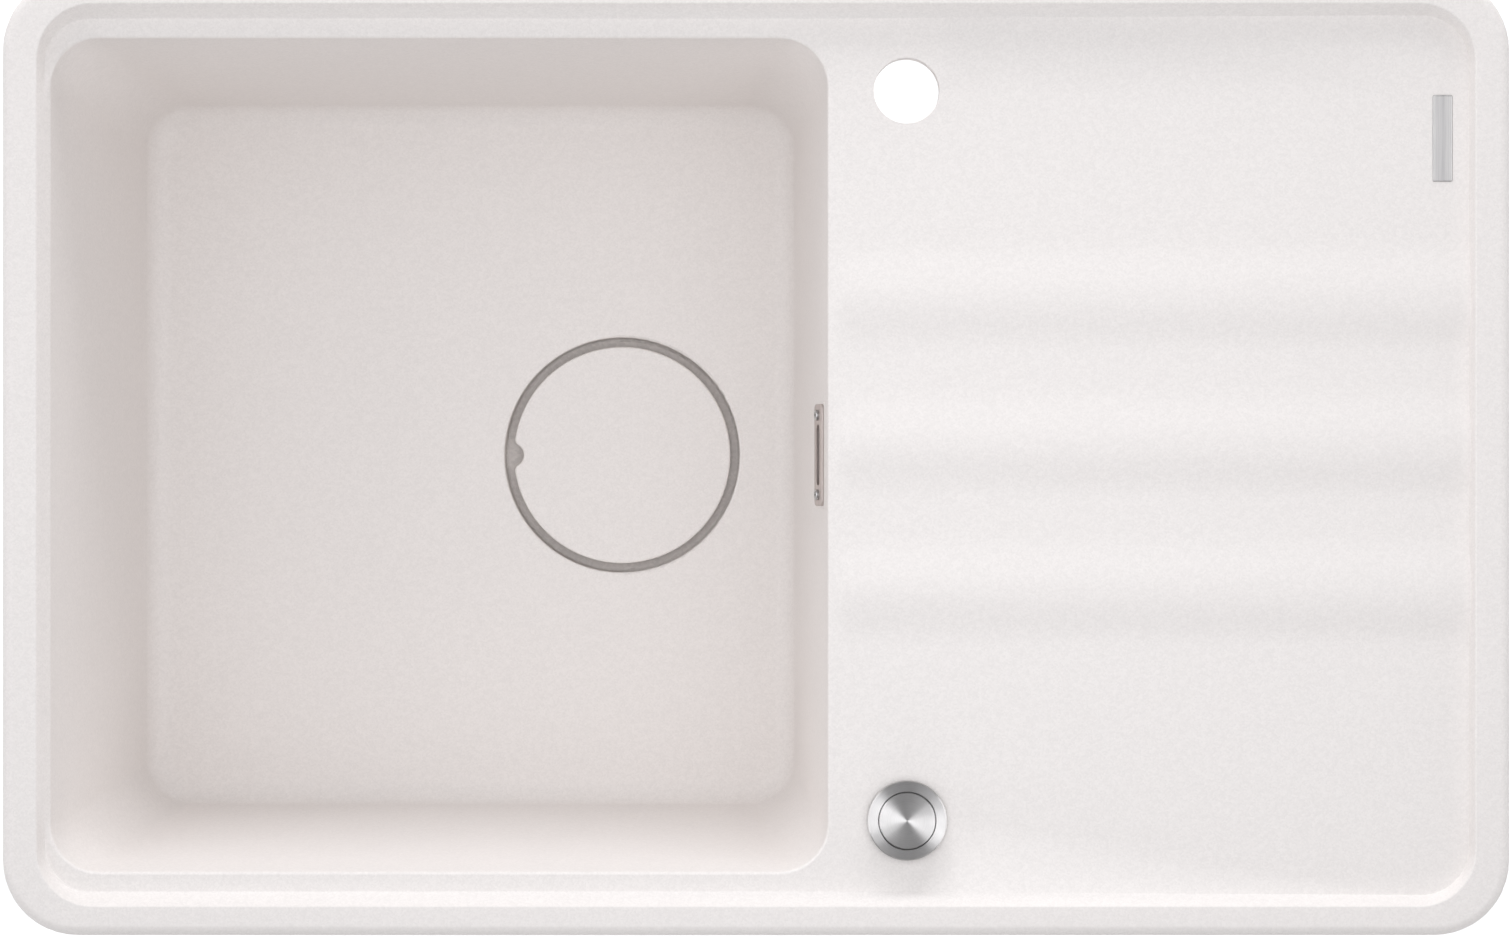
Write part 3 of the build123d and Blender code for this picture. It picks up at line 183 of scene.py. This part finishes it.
buttonMiddle = (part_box("button_cap")[0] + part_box("button_cap")[1]) / 2
granite = graniteFinish("graniteComposite", {
    **stoneKind, "grain": 0.0009, "mottle": 0.0033, "dark": "#EEE9E6", "light": "#F6F1EE", "rough": 0.5,
    "sheen": 0.4, "bump": 0.12})
# raw stone from the mould; it also serves as painted shade in the drain recess under the cover
castGraniteAndRecessShade = graniteFinish("castGraniteAndRecessShade", {
    **stoneKind, "grain": 0.0016, "mottle": 0.011, "dark": "#E2DCD8", "light": "#EFE9E5", "rough": 0.78,
    "sheen": 0.2, "bump": 0.5})
turnedSteel = steelFinish("turnedSteel", {
    **steelKind, "centre": tuple(buttonMiddle), "stroke": 0.0004, "band": 0.011, "dark": "#BDBBBA",
    "light": "#DAD8D7", "rough": 0.38, "bump": 0.1, "stretch": 1.0})
brushedSteel = steelFinish("brushedSteel", {
    **steelKind, "across": (1.0, 0.03, 1.0), "stroke": 0.0005, "band": 0.004, "dark": "#B8AFAB",
    "light": "#D2C8C4", "rough": 0.5, "bump": 0.1, "stretch": 0.3, "spread": (1.0, 0.0, 1.0)})
badgeSteel = steelFinish("badgeSteel", {
    **steelKind, "across": (1.0, 0.02, 1.0), "stroke": 0.0006, "band": 0.005, "dark": "#A8A6A7",
    "light": "#D9D7D5", "rough": 0.5, "bump": 0.1, "stretch": 0.3, "spread": (1.0, 0.0, 1.0)})
pressedSteel = steelFinish("pressedSteel", {
    **steelKind, "across": (1.0, 1.0, 0.05), "stroke": 0.0006, "band": 0.009, "dark": "#A9A8A8",
    "light": "#C8C7C6", "rough": 0.28, "bump": 0.08, "stretch": 0.0})
zincSteel = steelFinish("zincSteel", {
    **steelKind, "across": (1.0, 1.0, 1.0), "stroke": 0.0015, "band": 0.011, "dark": "#ACAEB1",
    "light": "#CDCECC", "rough": 0.4, "bump": 0.1, "stretch": 0.0})
whitePlastic = mouldedFinish("whitePolypropylene", {
    **mouldKind, "dark": "#DDDCD8", "light": "#E8E7E3", "cloud": 0.02, "skin": 0.0006, "rough": 0.45,
    "bump": 0.1})
greyPlastic = mouldedFinish("greyPlastic", {
    **mouldKind, "dark": "#4C4E50", "light": "#595B5D", "cloud": 0.015, "skin": 0.0005, "rough": 0.5,
    "bump": 0.12})
rubber = mouldedFinish("blackRubber", {
    **mouldKind, "dark": "#161616", "light": "#222221", "cloud": 0.01, "skin": 0.0004, "rough": 0.75,
    "bump": 0.15})

finishes = {
    "granite": granite, "steel": zincSteel, "rubber": rubber, "white_plastic": whitePlastic,
    "grey_plastic": greyPlastic,
}
special = {
    "badge_plate": badgeSteel, "overflow_cover": brushedSteel, "overflow_screws": pressedSteel,
    "button_cap": turnedSteel, "button_bezel": turnedSteel, "strainer_cup": pressedSteel,
    "basket": pressedSteel, "basket_knob": pressedSteel, "clamp_screw": pressedSteel,
    "lift_pin": pressedSteel,
}
slotOf = {part["node"]: part["material_slot"] for part in frame["record"]["subparts"]}
for nodeName, obj in nodes.items():
    for materialSlot in obj.material_slots:
        materialSlot.material = special.get(nodeName, finishes[slotOf[nodeName]])
print("materials set")


def meshArrays(mesh):
    # places of the points, and the three point numbers of each triangle
    points = np.empty(len(mesh.vertices) * 3)
    mesh.vertices.foreach_get("co", points)
    corners = np.empty(len(mesh.loops), dtype=np.int64)
    mesh.loops.foreach_get("vertex_index", corners)
    return points.reshape(-1, 3), corners.reshape(-1, 3)


def mergedMesh(nodeName):
    # the node's loose triangles joined where their corners agree to a tenth of a micron
    points, triangles = meshArrays(nodes[nodeName].data)
    cells = np.round(points * 1e7).astype(np.int64)
    _, first, inverse = np.unique(cells, axis=0, return_index=True, return_inverse=True)
    triangles = inverse.reshape(-1)[triangles]
    whole = (triangles != np.roll(triangles, 1, axis=1)).all(axis=1)
    return points[first], triangles[whole]


def newPiece(name, points, faces, materials, body, sharpAngle, replaced=(), caps=()):
    mesh = bpy.data.meshes.new(name)
    mesh.from_pydata(points.tolist(), [], faces.tolist() + [cap.tolist() for cap in caps])
    mesh.polygons.foreach_set("use_smooth", np.ones(len(mesh.polygons), dtype=bool))
    mesh.set_sharp_from_angle(angle=math.radians(sharpAngle))
    for material in materials:
        mesh.materials.append(material)
    mesh.update()
    obj = bpy.data.objects.new(name, mesh)
    scene.collection.objects.link(obj)
    weighted = obj.modifiers.new("weighted", "WEIGHTED_NORMAL")
    weighted.keep_sharp = True
    weighted.weight = 60  # large faces lead, but not alone
    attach(obj, body)
    if replaced:
        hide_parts(*replaced)
    return obj


def gridIndex(grid):
    # point numbers, row by row
    return np.arange(grid.shape[0] * grid.shape[1]).reshape(grid.shape[:2])


def gridFaces(index, wrapRows, wrapColumns):
    # one four-sided face between each pair of neighbouring rows and columns
    if wrapRows:
        index = np.vstack([index, index[:1]])
    if wrapColumns:
        index = np.hstack([index, index[:, :1]])
    quads = [index[:-1, :-1], index[1:, :-1], index[1:, 1:], index[:-1, 1:]]
    return np.stack(quads, axis=-1).reshape(-1, 4)


def cutAcross(points, faces, levels, lowX, highX):
    # extra rows of points where faces cross the planes y = level; only those whose left end lies between
    # lowX and highX are cut
    leftEnd = points[faces][:, :, 0].min(axis=1)
    inStrip = np.flatnonzero((leftEnd > lowX) & (leftEnd < highX))
    mesh = bpy.data.meshes.new("cutAcross")
    mesh.from_pydata(points.tolist(), [], faces.tolist())
    work = bmesh.new()
    work.from_mesh(mesh)
    work.faces.ensure_lookup_table()
    strip = [work.faces[i] for i in inStrip.tolist()]
    edges = dict.fromkeys(edge for face in strip for edge in face.edges)
    corners = dict.fromkeys(corner for face in strip for corner in face.verts)
    cut = [*strip, *edges, *corners]
    for level in levels:
        cut = bmesh.ops.bisect_plane(work, geom=cut, dist=1e-7, plane_co=(0, level, 0),
                                     plane_no=(0, 1, 0))["geom"]
    bmesh.ops.triangulate(work, faces=[face for face in work.faces if len(face.verts) > 3])
    work.to_mesh(mesh)
    work.free()
    arrays = meshArrays(mesh)
    bpy.data.meshes.remove(mesh)
    return arrays


# moulded sink: smooth copy, polished where hands and water reach, raw from the mould below and outside; the
# darker raw stone is also laid in the recess under the drain cover as painted shade
drainAxis = (-0.0798, 0.0)
sinkLook = {"bowlMiddle": (-0.1688, 0.0), "below": -0.004, "recess": 0.072, "covered": -0.1922,
            "downward": -0.25, "upward": 0.5}
points, faces = mergedMesh("sink_body")

# on the left the rim runs down to the bowl's edge in one slope: the height there is that of a straight line
# that touches the rounded edge, and the slope gives way to a flat ledge where the bowl's corners begin
slopeLook = {"edge": (-0.37586, 0.000045), "rise": 1.875, "high": -0.3809, "low": -0.001, "margin": 0.0002,
             "full": 0.186, "gone": 0.208, "rows": 12}
edgeX, edgeHeight = slopeLook["edge"]
full, gone = slopeLook["full"], slopeLook["gone"]
rows = np.linspace(full, gone, slopeLook["rows"])
points, faces = cutAcross(points, faces, [*rows, *-rows], slopeLook["high"] - slopeLook["margin"], edgeX)
line = edgeHeight + slopeLook["rise"] * (edgeX - points[:, 0])
along = np.clip((np.abs(points[:, 1]) - full) / (gone - full), 0, 1)
fade = 1 - along * along * (3 - 2 * along)
onLedge = (points[:, 0] > slopeLook["high"]) & (points[:, 0] < edgeX)
onLedge &= (points[:, 2] > slopeLook["low"]) & (points[:, 2] < line)
points[onLedge, 2] += (fade * (line - points[:, 2]))[onLedge]
sinkSkin = newPiece("sinkSkin", points, faces, [granite, castGraniteAndRecessShade], "sink", 40, ["sink_body"])

corners = points[faces]
centres = corners.mean(axis=1)
normals = np.cross(corners[:, 1] - corners[:, 0], corners[:, 2] - corners[:, 0])
normals /= np.maximum(np.linalg.norm(normals, axis=1, keepdims=True), 1e-12)  # a sliver has no length
outward = ((centres[:, :2] - sinkLook["bowlMiddle"]) * normals[:, :2]).sum(axis=1) > 0
inRecess = np.linalg.norm(centres[:, :2] - drainAxis, axis=1) < sinkLook["recess"]
outside = outward & (centres[:, 2] < sinkLook["below"]) & ~inRecess
rawAndRecessShade = (normals[:, 2] < sinkLook["downward"]) | (outside & (normals[:, 2] < sinkLook["upward"]))
# the recess floor under the drain cover takes the darker raw stone as painted shade
rawAndRecessShade |= inRecess & (centres[:, 2] < sinkLook["covered"])
sinkSkin.data.polygons.foreach_set("material_index", rawAndRecessShade.astype(np.int32))

points, faces = mergedMesh("drain_cover")
newPiece("coverSkin", points, faces, [granite], "cover", 40, ["drain_cover"])
print("stone pieces made")


def drawnIn(points, look):
    # points on the thread's crest radius move straight towards the axis, to its root radius
    fromAxis = points[:, :2] - look["axis"]
    radius = np.linalg.norm(fromAxis, axis=1)
    onCrest = (np.abs(radius - look["crest"]) < look["near"]) & (points[:, 2] < look["top"])
    points[onCrest, :2] = look["axis"] + fromAxis[onCrest] * (look["root"] / radius[onCrest])[:, None]
    return points


# a thread's ridge: share of its height and place along the axis in pitches; it starts a little below the
# root's surface, and the crest sinks there at both ends
ridgeLook = {"outline": [(0, -0.46), (0.25, -0.4), (1, -0.1), (1, 0.1), (0.25, 0.4), (0, 0.46)],
             "stepsPerTurn": 72, "runOut": 0.9 * math.pi, "least": 0.05, "sunk": 0.0003}


def threadPiece(name, look, material, body):
    # the ridge's outline carried along a helix that rises by one pitch per turn
    turns = (look["high"] - look["low"]) / look["pitch"]
    angle = np.linspace(0, 2 * math.pi * turns, int(turns * ridgeLook["stepsPerTurn"]) + 1)
    fade = np.clip(np.minimum(angle, angle[-1] - angle) / ridgeLook["runOut"], ridgeLook["least"], 1)
    deep = look["root"] - ridgeLook["sunk"]
    outline = np.array(ridgeLook["outline"])
    radius = deep + np.outer(fade, outline[:, 0]) * (look["crest"] - deep)
    height = look["low"] + ((angle / (2 * math.pi))[:, None] + outline[:, 1]) * look["pitch"]
    grid = np.stack([look["axis"][0] + radius * np.cos(angle)[:, None],
                     look["axis"][1] + radius * np.sin(angle)[:, None], height], axis=-1)
    index = gridIndex(grid)
    return newPiece(name, grid.reshape(-1, 3), gridFaces(index, False, True), [material], body, 50,
                    caps=[index[0], index[-1, ::-1]])


# waste body: smooth copy whose outlet tail is taken in to the root of its thread
tailLook = {"axis": drainAxis, "crest": 0.0239, "root": 0.0226, "pitch": 0.00231, "low": -0.3085,
            "high": -0.2885, "near": 0.0002, "top": -0.2862}
points, faces = mergedMesh("drain_body")
newPiece("wasteSkin", drawnIn(points, tailLook), faces, [whitePlastic], "sink", 35,
         ["drain_body"])
threadPiece("outletThread", tailLook, whitePlastic, "sink")

# push-button bezel: smooth copy whose tube is taken in to the root of its thread
tubeLook = {"axis": tuple(buttonMiddle[:2]), "crest": 0.017, "root": 0.0162, "pitch": 0.0015, "low": -0.0375,
            "high": -0.0085, "near": 0.0001, "top": cadBounds[1][2]}
points, faces = mergedMesh("button_bezel")
newPiece("bezelSkin", drawnIn(points, tubeLook), faces, [turnedSteel], "sink", 30, ["button_bezel"])
threadPiece("bezelThread", tubeLook, zincSteel, "sink")
points, faces = mergedMesh("button_cap")
newPiece("capSkin", points, faces, [turnedSteel], "button", 30, ["button_cap"])
print("threads made")

# return spring: smooth copy, given a mesh of its own
points, faces = mergedMesh("button_spring")
springSkin = newPiece("springSkin", points, faces, [zincSteel], "sink", 40, ["button_spring"])
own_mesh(springSkin)
print("spring made")


def nutPiece(name, nodeName, look):
    # a stepped ring section turned about the axis; its outer radius swells and sinks once per grip lobe
    low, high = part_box(nodeName)
    middle = (low + high) / 2
    angle = np.linspace(0, 2 * math.pi, look["lobes"] * look["stepsPerLobe"], endpoint=False)
    swell = 0.5 + 0.5 * np.cos(look["lobes"] * angle)
    outer = look["trough"] + (look["crest"] - look["trough"]) * swell
    waist = np.full_like(outer, look["trough"] - look["bevel"])
    bore, lipBore = np.full_like(outer, look["bore"]), np.full_like(outer, look["lipBore"])
    length, inner, shoulder = look["length"], look["length"] - look["lip"], look["shoulder"]
    section = [(bore, 0), (waist, 0), (outer, shoulder), (outer, look["grip"]), (outer, length - shoulder),
               (waist, length), (lipBore, length), (lipBore, inner), (bore, inner)]
    radii = np.stack([ring for ring, along in section])
    along = np.array([along for ring, along in section])[:, None]
    grid = np.empty(radii.shape + (3,))
    faces = gridFaces(gridIndex(grid), True, True)
    if look["axis"] == "down":
        grid[..., 0] = middle[0] + radii * np.cos(angle)
        grid[..., 1] = middle[1] + radii * np.sin(angle)
        grid[..., 2] = high[2] - along
    else:
        grid[..., 0] = low[0] + along
        grid[..., 1] = middle[1] + radii * np.cos(angle)
        grid[..., 2] = middle[2] + radii * np.sin(angle)
        faces = faces[:, ::-1]
    return newPiece(name, grid.reshape(-1, 3), faces, [greyPlastic], "sink", 30, [nodeName])


nutLook = {"lobes": 12, "stepsPerLobe": 16, "crest": 0.0189, "trough": 0.0176, "bore": 0.0141,
           "lipBore": 0.0113, "length": 0.019, "lip": 0.0025, "bevel": 0.0009, "shoulder": 0.00144,
           "grip": 0.0076}
nutPiece("upperNut", "pipe_nut_upper", {**nutLook, "axis": "down"})
nutPiece("lowerNut", "pipe_nut_lower", {**nutLook, "axis": "right"})
print("nuts made")


# badge plate: rounded-rectangle rings from the foot up, each drawn in by its inset and set down by its drop,
# which leaves a fine raised border round a bare face
badgeLook = {"corner": 0.001, "cornerSteps": 8, "inset": [0.0, 0.0, 0.0002, 0.0006, 0.00075],
             "drop": [0.0009, 0.0002, 0.0, 0.0, 0.0001]}
low, high = (np.array(corner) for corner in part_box("badge_plate"))
quarter = np.linspace(0, math.pi / 2, badgeLook["cornerSteps"])
angle = np.concatenate([quarter + turn * math.pi / 2 for turn in range(4)])
side = np.repeat([[1, 1], [-1, 1], [-1, -1], [1, -1]], badgeLook["cornerSteps"], axis=0)
cornerMiddle = ((low + high) / 2)[:2] + side * ((high - low)[:2] / 2 - badgeLook["corner"])
radius = badgeLook["corner"] - np.array(badgeLook["inset"])
grid = np.empty((len(radius), len(angle), 3))
grid[..., 0] = cornerMiddle[:, 0] + np.outer(radius, np.cos(angle))
grid[..., 1] = cornerMiddle[:, 1] + np.outer(radius, np.sin(angle))
grid[..., 2] = high[2] - np.array(badgeLook["drop"])[:, None]
index = gridIndex(grid)
faces = gridFaces(index, False, True)[:, ::-1]
newPiece("badgeSkin", grid.reshape(-1, 3), faces, [badgeSteel], "sink", 25, ["badge_plate"],
         [index[-1], index[0, ::-1]])
print("badge made")


# pale studio paper; the camera sees it lifted to white, with the object's shadow left in it
floorLook = {"half": 6, "below": 0.001, "paper": "#E6E6E6", "lift": 0.55}
floorLevel = cadBounds[0][2] - floorLook["below"]
half = floorLook["half"]
floorCorners = [(-half, -half, floorLevel), (half, -half, floorLevel), (half, half, floorLevel),
                (-half, half, floorLevel)]
floorMesh = bpy.data.meshes.new("floor")
floorMesh.from_pydata(floorCorners, [], [(0, 1, 2, 3)])
floor = bpy.data.objects.new("floor", floorMesh)
scene.collection.objects.link(floor)
floorPaint, tree = newMaterial("floorPaint")
path = addNode(tree, "ShaderNodeLightPath")
seen = path.outputs["Is Camera Ray"]
mirrored = addNode(tree, "ShaderNodeMath", {0: path.outputs["Is Glossy Ray"],
                                            1: path.outputs["Is Transmission Ray"]}, operation="MAXIMUM")
shown = addNode(tree, "ShaderNodeMath", {0: seen, 1: mirrored.outputs[0]}, operation="MAXIMUM")
paper = addNode(tree, "ShaderNodeBsdfDiffuse", {"Color": linearColour(floorLook["paper"])})
glow = addNode(tree, "ShaderNodeEmission", {"Color": (1, 1, 1, 1), "Strength": floorLook["lift"]})
dark = addNode(tree, "ShaderNodeEmission", {"Color": (0, 0, 0, 1), "Strength": 0.0})
lift = addNode(tree, "ShaderNodeMixShader", {0: shown.outputs[0], 1: dark.outputs[0], 2: glow.outputs[0]})
lit = addNode(tree, "ShaderNodeAddShader", {0: paper.outputs[0], 1: lift.outputs[0]})
# seen from below, the paper lets the camera through
backSide = addNode(tree, "ShaderNodeNewGeometry").outputs["Backfacing"]
behind = addNode(tree, "ShaderNodeMath", {0: seen, 1: backSide}, operation="MULTIPLY")
clear = addNode(tree, "ShaderNodeBsdfTransparent")
oneSided = addNode(tree, "ShaderNodeMixShader", {0: behind.outputs[0], 1: lit.outputs[0],
                                                 2: clear.outputs[0]})
addNode(tree, "ShaderNodeOutputMaterial", {"Surface": oneSided.outputs[0]})
floorMesh.materials.append(floorPaint)

tint = (0.992, 1.0, 1.022)  # a touch cool, so that the warm stone comes out nearly neutral
lamps = [
    {"name": "backBox", "place": (0.3, 2.8, 0.65), "aim": (0, 0, -0.05), "size": (2.2, 0.9), "power": 38.4},
    {"name": "cornerBox", "place": (-0.9, 2.5, 0.9), "aim": (0, 0, -0.05), "size": (1.6, 1.0), "power": 9.5},
    {"name": "leftBox", "place": (-2.2, 0.2, 1.4), "aim": (0, 0, -0.05), "size": (1.2, 1.2), "power": 3.0},
    {"name": "leftLow", "place": (-2.8, 0.0, 0.65), "aim": (0, 0, -0.05), "size": (0.9, 0.9), "power": 9.4},
    {"name": "rightLow", "place": (2.8, 0.0, 0.65), "aim": (0, 0, -0.05), "size": (0.9, 0.9), "power": 8.0},
    {"name": "frontLow", "place": (0.0, -2.8, 0.65), "aim": (0, 0, -0.05), "size": (0.9, 0.9), "power": 8.2},
    {"name": "topBox", "place": (-0.1, 0, 0.8), "aim": (-0.1, 0, -0.05), "size": (0.3, 0.3), "power": 0.82},
    {"name": "deckBox", "place": (0.2, 0.0, 0.5), "aim": (0.2, 0, 0), "size": (0.3, 0.3), "power": 0.225},
]
for lamp in lamps:
    light = bpy.data.lights.new(lamp["name"], "AREA")
    light.shape = "RECTANGLE"
    light.size, light.size_y = lamp["size"]
    light.energy = lamp["power"]
    light.color = tint
    lightObject = bpy.data.objects.new(lamp["name"], light)
    lightObject.location = lamp["place"]
    direction = Vector(lamp["aim"]) - Vector(lamp["place"])
    lightObject.rotation_euler = direction.to_track_quat("-Z", "Y").to_euler()
    lightObject.visible_camera = False
    lightObject.visible_glossy = False
    scene.collection.objects.link(lightObject)

# the room's light is an even part plus one that grows with the cube of the ray's height; polished things
# mirror bright screens left and right instead, and a darker room in front and behind
roomLook = {"even": 0.2, "overhead": 0.95, "power": 3.0, "turn": 0.25, "edge": (0.18, 0.44),
            "screens": (0.31, 2.12)}
world = bpy.data.worlds.new("studio")
scene.world = world
world.use_nodes = True
tree = world.node_tree
tree.nodes.clear()
path = addNode(tree, "ShaderNodeLightPath")
seen = addNode(tree, "ShaderNodeMath", {0: path.outputs["Is Camera Ray"],
                                        1: path.outputs["Is Transmission Ray"]}, operation="MAXIMUM")
white = addNode(tree, "ShaderNodeBackground", {"Color": (1, 1, 1, 1), "Strength": 1.0})
ray = addNode(tree, "ShaderNodeTexCoord").outputs["Generated"]
heading = addNode(tree, "ShaderNodeSeparateXYZ", {0: ray})
upward = addNode(tree, "ShaderNodeMath", {0: heading.outputs["Z"], 1: 0.0}, operation="MAXIMUM")
raised = addNode(tree, "ShaderNodeMath", {0: upward.outputs[0], 1: roomLook["power"]}, operation="POWER")
room = addNode(tree, "ShaderNodeMath", {0: raised.outputs[0], 1: roomLook["overhead"], 2: roomLook["even"]},
               operation="MULTIPLY_ADD")
compass = addNode(tree, "ShaderNodeMath", {0: heading.outputs["Y"], 1: heading.outputs["X"]},
                  operation="ARCTAN2")
doubled = addNode(tree, "ShaderNodeMath", {0: compass.outputs[0], 1: 2.0, 2: roomLook["turn"]},
                  operation="MULTIPLY_ADD")
sideways = addNode(tree, "ShaderNodeMath", {0: doubled.outputs[0]}, operation="COSINE")
screens = addNode(tree, "ShaderNodeMapRange", {
    "Value": sideways.outputs[0], "From Min": roomLook["edge"][0], "From Max": roomLook["edge"][1],
    "To Min": roomLook["screens"][0], "To Max": roomLook["screens"][1]})
strength = addNode(tree, "ShaderNodeMix", {0: path.outputs["Is Glossy Ray"], 2: room.outputs[0],
                                           3: screens.outputs[0]}, data_type="FLOAT")
dome = addNode(tree, "ShaderNodeBackground", {"Color": (*tint, 1), "Strength": strength.outputs[0]})
choose = addNode(tree, "ShaderNodeMixShader", {0: seen.outputs[0], 1: dome.outputs[0], 2: white.outputs[0]})
addNode(tree, "ShaderNodeOutputWorld", {"Surface": choose.outputs[0]})

# the camera looks straight down from above the sink's middle and takes in the rim's full length
view = {"height": 1.592, "width": 0.8003, "rimTop": 0.010, "shiftPixels": -14, "imageWidth": 1512}
cameraData = bpy.data.cameras.new("photoCamera")
cameraData.sensor_fit = "HORIZONTAL"
cameraData.angle = 2 * math.atan(view["width"] / 2 / view["height"])
cameraData.shift_y = view["shiftPixels"] / view["imageWidth"]
camera = bpy.data.objects.new("photoCamera", cameraData)
camera.location = (0, 0, view["rimTop"] + view["height"])
scene.collection.objects.link(camera)
scene.camera = camera
scene.view_settings.view_transform = "Standard"
print("stage set")

bpy.context.view_layer.update()
